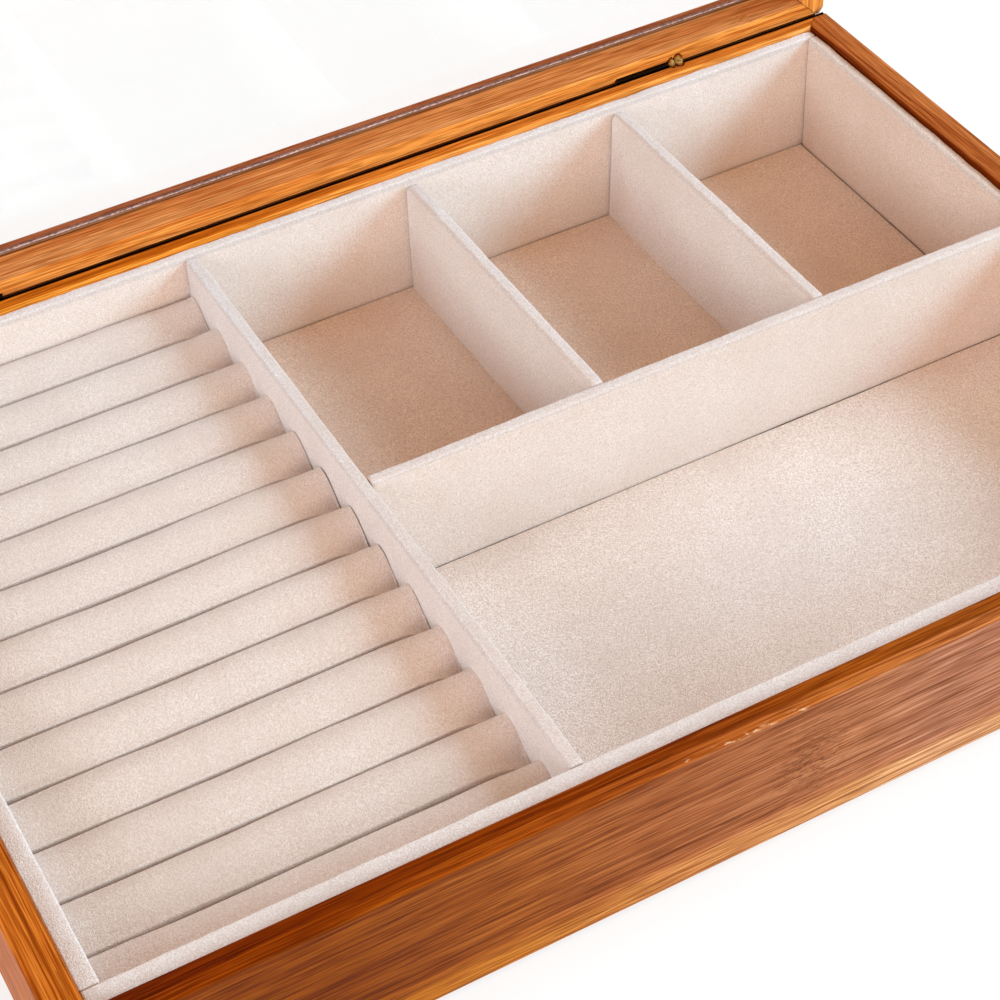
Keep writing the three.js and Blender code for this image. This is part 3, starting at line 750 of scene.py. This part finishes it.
def ring_rolls(closed, end_shaded):
    """All the rolls settle in one simulation, and then become thirteen pieces.

    The rolls that end short of the divider get the second material, with a painted shade on their
    ends for the gap's shadow, and the others the first.
    """
    names = sorted(n for n in nodes if n.startswith("ring_roll_") and n != "ring_roll_base")
    front, back = (v[1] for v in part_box("ring_divider"))
    # The rolls follow the divider's skew.
    ends = []
    for node, grow in zip(names, ROLL_ENDS):
        middle = sum(v[1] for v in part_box(node)) / 2
        ends.append((grow + DIVIDER_SKEW * (middle - front) / (back - front)) * MM)
    rolls = [roll_mesh(node, end) for node, end in zip(names, ends)]
    starts = []
    for points, _, free in rolls:
        centre = points.mean(axis=0)
        out = points - centre
        out[:, 0] = 0
        out /= np.maximum(np.linalg.norm(out, axis=1, keepdims=True), 1e-6)
        moved = ripple(points, out, ROLL_WAVES)
        starts.append(points + (moved - points) * free[:, None])
    offsets = np.cumsum([0] + [len(p) for p in starts])
    joined = [tuple(i + offset for i in face)
              for (_, faces, _), offset in zip(rolls, offsets) for face in faces]
    frees = np.concatenate([free for _, _, free in rolls])
    settled = press_cloth(np.concatenate(starts), joined, frees)
    for i, start in enumerate(starts):
        step = (settled[offsets[i]:offsets[i + 1]] - start) * (0, 1, 1)
        length = np.maximum(np.linalg.norm(step, axis=1, keepdims=True), 1e-9)
        starts[i] = start + step * np.minimum(1, CLOTH_CAP / length)
    for node, grow, end, points, (_, faces, _) in zip(names, ROLL_ENDS, ends, starts, rolls):
        low, high = (np.array(v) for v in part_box(node))
        points[:, 1] = np.clip(points[:, 1], low[1] - SLIT_FILL, high[1] + SLIT_FILL)
        points[:, 0] = np.clip(points[:, 0], low[0] - FAR_END_REACH, high[0] + end)
        points[:, 2] = np.maximum(points[:, 2], low[2])
        material = end_shaded if grow < SHADED_END_BELOW else closed
        piece = soft_piece(node, points, faces, material)
        smooth = piece.modifiers.new("smooth", "SUBSURF")
        smooth.levels = smooth.render_levels = 1


# The cloth's colours as display values, light and dark: of boards and rolls, and of floors. The
# rolls have a share of theirs, a painted shade that darkens them, and the last one is a painted
# shade for the ends of the rolls that stop short of the divider, a near black brown.
CLOTH_TONES = (238, 222, 214), (215, 193, 181)
FLOOR_TONES = (243, 228, 219), (209, 185, 172)
ROLL_SHADE_TONE = 0.88
ROLL_END_SHADE = (44, 18, 8)

# Tones that multiply the cloth's colour, by place in millimetres. All of them are painted light
# and shade. The boards' tops are painted darker and a little greyer.
SHADED_TOPS = (2, [(0, 1.0), (36.1, 1.0), (36.45, (0.87, 0.88, 0.91)), (39.4, (0.87, 0.88, 0.91))])
# Painted light: the front and left panels' tops are cooler.
FRONT_PANEL_TOP_LIGHT = (2, [(0, 1.0), (36.6, 1.0), (36.95, (0.95, 1.02, 1.09)), (39.4, (0.95, 1.02, 1.09))])
# Painted shade: the right panel's side is pinker and its top darker.
RIGHT_SHADE = (2, [(0, (1.0, 0.9, 0.82)), (36.6, (1.0, 0.9, 0.82)), (36.95, 0.9), (39.4, 0.9)])
# Painted light: the ring divider's left side is cooler and a little lighter.
DIVIDER_SIDE_LIGHT = (0, [(-42.5, (1.0, 1.05, 1.1)), (-40.6, (1.0, 1.05, 1.1)), (-40.2, 1.0), (-37, 1.0)])
# Painted light and shade: the floors are cooler towards the front and pinker towards the back.
FLOOR_LIGHT_ACROSS = (1, [
    (-93, (1.0, 1.1, 1.17)), (-40, (1.0, 1.06, 1.1)), (-5, 1.0), (5, (1.04, 0.98, 0.93)),
    (95, (1.04, 0.98, 0.93)),
])
# Painted light: the rolls are lighter and cooler near the ring divider, against the shade it casts.
ROLL_END_LIGHT = (0, [(-152, 1.0), (-68, 1.0), (-50, (1.07, 1.11, 1.16)), (-41, (1.07, 1.11, 1.16))])
# Painted light: the cloth is lighter and cooler at the back, on the back panel.
BACK_PANEL_LIGHT = (1, [(-93, 1.0), (90, 1.0), (94, (1.05, 1.08, 1.1)), (98, (1.05, 1.08, 1.1))])


def dress_lining():
    cloth = [linear(tone) for tone in CLOTH_TONES]
    panel = suede_material("suede_panels", *cloth, 3.0, [SHADED_TOPS, BACK_PANEL_LIGHT])
    front = suede_material("suede_front_panel", *cloth, 5.0, [FRONT_PANEL_TOP_LIGHT])
    right = suede_material("suede_right_panel", *cloth, 7.0, [RIGHT_SHADE])
    divider = suede_material("suede_ring_divider", *cloth, 9.0, [SHADED_TOPS, DIVIDER_SIDE_LIGHT])
    floor = suede_material("suede_floors", *[linear(tone) for tone in FLOOR_TONES], 11.0,
                           [FLOOR_LIGHT_ACROSS])
    # Painted shade: the rolls are a darker copy of the boards' cloth.
    shaded_cloth = [[c * ROLL_SHADE_TONE for c in tone] for tone in cloth]
    closed = suede_material("suede_rolls", *shaded_cloth, 23.0, [ROLL_END_LIGHT])
    # Painted shade on the ends of the rolls that stop short of the divider, for the gap's shadow.
    end_shaded = suede_material("suede_rolls_end_shade", *shaded_cloth, 23.0, [ROLL_END_LIGHT], linear(ROLL_END_SHADE))
    lining_board("lining_back_panel", panel, 0.0005, high_grow=(0, 0.2, 0.8))
    lining_board("lining_front_panel", front, 0.0006, low_grow=(0, 0.15, 0))
    lining_board("lining_left_panel", front, 0.0006, low_grow=(0.15, 0, 0))
    lining_board("lining_right_panel", right, 0.0006, high_grow=(0.25, 0, 0.9))
    lining_board("ring_divider", divider, 0.0006, skew=(0, DIVIDER_SKEW), high_grow=(0, 0.2, 0))
    lining_board("long_divider", panel, 0.0008, low_grow=(0.5, 0, 0), high_grow=(0.2, 0.5, 0.1))
    for node, lean in (("left_bay_divider", 0.0), ("middle_bay_divider", -0.001)):
        lining_board(node, panel, 0.001, corner=0.0035, lean=lean, skew=(0.2, -0.9),
                     low_grow=(0.3, -0.25, 0), high_grow=(0.3, 0.25, 0))
    for node in nodes:
        if node.endswith("floor_pad") or node == "ring_roll_base":
            beside_small_divider = node in ("left_bay_floor_pad", "middle_bay_floor_pad")
            floor_pad(node, floor, 0.2 if beside_small_divider else 0)
    ring_rolls(closed, end_shaded)


# Wood tones as display values: dark, middle and light
CASE_TONES = (132, 56, 6), (178, 90, 22), (204, 118, 42)
# The front wall's tones are the wood's colour with a painted sheen mixed in, the lacquer's pale
# reflection, so they are paler and pinker than the case's.
FRONT_SHEEN_TONES = (138, 72, 36), (174, 102, 60), (192, 122, 78)
BACK_TONES = (156, 73, 13), (178, 90, 22), (193, 106, 33)
LID_TONES = (205, 111, 42), (229, 140, 60), (238, 159, 77)
# Brass tones as display values: bright and dull
BRASS_TONES = (196, 158, 92), (120, 84, 40)
# The knuckles' near black brass is a painted shade, which stands for the seam's shadow round them.
SEAM_SHADE_BRASS_TONES = (34, 22, 12), (20, 12, 6)

# The painted shade round the seam's groove on the case, nearly black: y, z and radius in
# millimetres
CASE_SEAM_SHADE = (101.46, 38.975, 1.12)
# Joints of the cane, as bamboo_material takes them
CANE_JOINTS = {
    "front_wall": [(9, 8, 2, 22, 10, 1.0)],
    "lid_back_rail": [(127, 2.5, 1, 104.5, 2.5, 0.9)],
    "lid_front_rail": [(-60, 6, 1, 109, 6, 0.9)],
}
# The chipped stretch of the front wall's top edge: its two ends, and its place and half width in
# depth and in height, in millimetres
FRONT_SCUFFS = (-22, 6)
SCUFF_DEPTH, SCUFF_HEIGHT = (-104.5, 0.45), (39.2, 0.5)

# Tones that multiply the wood's colour, by place in millimetres
# Painted shade: the front wall gets much darker towards its left end, and paler and less orange
# towards its right.
FRONT_SHADE_ALONG = (0, [
    (-152, (0.43, 0.25, 0.034)), (-100, (0.46, 0.29, 0.038)), (-60, (0.68, 0.54, 0.22)),
    (-20, (0.72, 0.65, 0.57)), (20, (0.92, 1.02, 1.2)), (40, (0.91, 1.07, 1.57)),
    (152, (0.91, 1.07, 1.57)),
])
# Painted light: the front wall's foot, where its rounded lower edge faces the floor, is much
# lighter.
FRONT_FOOT_LIGHT = (2, [
    (2.4, (1.7, 2.2, 2.05)), (7, (1.76, 2.28, 2.1)), (9.5, 1.2), (12, 1.0), (39.4, 1.0),
])
FRONT_TOP = (1, [
    (-104.88, 1.0), (-104.5, (1.12, 0.88, 0.39)), (-102.7, (1.08, 0.84, 0.39)),
    (-102.2, (1.22, 0.99, 0.47)), (-101.8, (0.65, 0.38, 0.055)), (-98.5, (0.7, 0.4, 0.08)),
])
# Painted shade: the right wall's inner face just above the lining is darkened nearly to black.
# Across the top, the wood is paler and less orange towards the outer edge.
RIGHT_TOP_SHADING = (0, [
    (144.9, (0.3, 0.15, 0.04)), (145.1, (0.3, 0.15, 0.04)), (145.4, (0.72, 0.68, 1.2)),
    (148.5, (0.72, 0.68, 1.2)), (149.0, (0.88, 1.02, 2.45)), (152.4, (0.88, 1.02, 2.45)),
])
# Painted light: the back wall is paler and less orange towards its right end.
BACK_LIGHT_ALONG = (0, [
    (-152, (1.0, 1.05, 0.85)), (-40, (1.18, 1.2, 0.93)), (10, (1.36, 1.55, 2.1)),
    (152, (1.33, 1.64, 2.8)),
])
# Painted highlight: a thin, much paler strip along the back wall's inner top edge.
BACK_EDGE_HIGHLIGHT = (1, [
    (97.3, (1.5, 2.2, 4.0)), (97.55, (1.5, 2.2, 4.0)), (97.7, 1.12), (98.3, 1.0), (104.9, 1.0),
])
# Tones across the lid's rails. Painted shade makes a dark line at the pane's groove and darkens the
# lip behind the pane. The inner face is less orange than the lower edge.
LID_DEPTH_SHADING = (1, [
    (101.9, 1.0), (102.3, (0.77, 0.73, 1.1)), (110.95, (0.79, 0.76, 1.15)),
    (111.2, (0.19, 0.21, 0.42)), (111.5, (0.2, 0.25, 0.65)), (111.8, (0.44, 0.45, 1.0)),
    (112.35, (0.44, 0.42, 0.8)), (112.5, (0.3, 0.24, 0.34)), (114.4, (0.35, 0.265, 0.62)),
    (116.2, (0.385, 0.285, 0.62)), (116.7, 0.75), (117, 0.75),
])
# Painted shade darkens the lid's lower edge where it goes down into the seam, and painted light
# brightens the rounded edge just above it.
LID_FOOT_SHADING = (2, [
    (38.4, 1.0), (38.7, (0.06, 0.02, 0.0)), (39.0, (0.06, 0.02, 0.0)), (39.05, (0.3, 0.15, 0.01)),
    (39.09, (0.7, 0.42, 0.1)), (39.14, (1.15, 0.95, 0.5)), (39.25, (1.35, 1.2, 0.8)),
    (39.6, (1.35, 1.3, 1.1)), (40.1, 1.0), (41, 1.0),
])


def dress_wood():
    case, front, back, lid = (
        [linear(c) for c in tones] for tones in (CASE_TONES, FRONT_SHEEN_TONES, BACK_TONES, LID_TONES)
    )
    # Each rail's node, the axis of its fibres, tones and bands
    rails = [
        ("front_wall", 0, front, [FRONT_SHADE_ALONG, FRONT_FOOT_LIGHT, FRONT_TOP]),
        ("back_wall", 0, back, [BACK_LIGHT_ALONG, BACK_EDGE_HIGHLIGHT]),
        ("left_wall", 1, case, []),
        ("right_wall", 1, case, [RIGHT_TOP_SHADING]),
        ("lid_back_rail", 0, lid, [LID_DEPTH_SHADING, LID_FOOT_SHADING]),
        ("lid_front_rail", 0, lid, [LID_DEPTH_SHADING]),
        ("lid_left_rail", 2, lid, [LID_DEPTH_SHADING]),
        ("lid_right_rail", 2, lid, [LID_DEPTH_SHADING]),
    ]
    for seed, (node, along, tones, bands) in enumerate(rails, 1):
        paint(node, bamboo_material(
            "bamboo_" + node, along, float(seed), tones, bands,
            marks=CANE_JOINTS.get(node, ()),
            scuffs=FRONT_SCUFFS if node == "front_wall" else (),
            seam=() if node.startswith("lid") else CASE_SEAM_SHADE,
            seamed=node in ("back_wall", "lid_back_rail"),
        ))


def paint(node, material):
    target = nodes[node]
    target.data.materials.clear()
    target.data.materials.append(material)


def dress_metal_and_glass():
    """Only the hinges' pins with their balls are bright. The knuckles in the seam are painted near
    black, a painted shade for the seam's shadow.
    """
    polished = brass_material("aged_brass", *BRASS_TONES)
    shaded_brass = brass_material("dark_brass", *SEAM_SHADE_BRASS_TONES)
    glass, board = glass_material(), board_material()
    for node in nodes:
        if "hinge" in node:
            paint(node, polished if node.endswith("pin") else shaded_brass)
    paint("glass_pane", glass)
    paint("bottom_board", board)


set_camera()
set_stage()
dress_lining()
dress_wood()
dress_metal_and_glass()
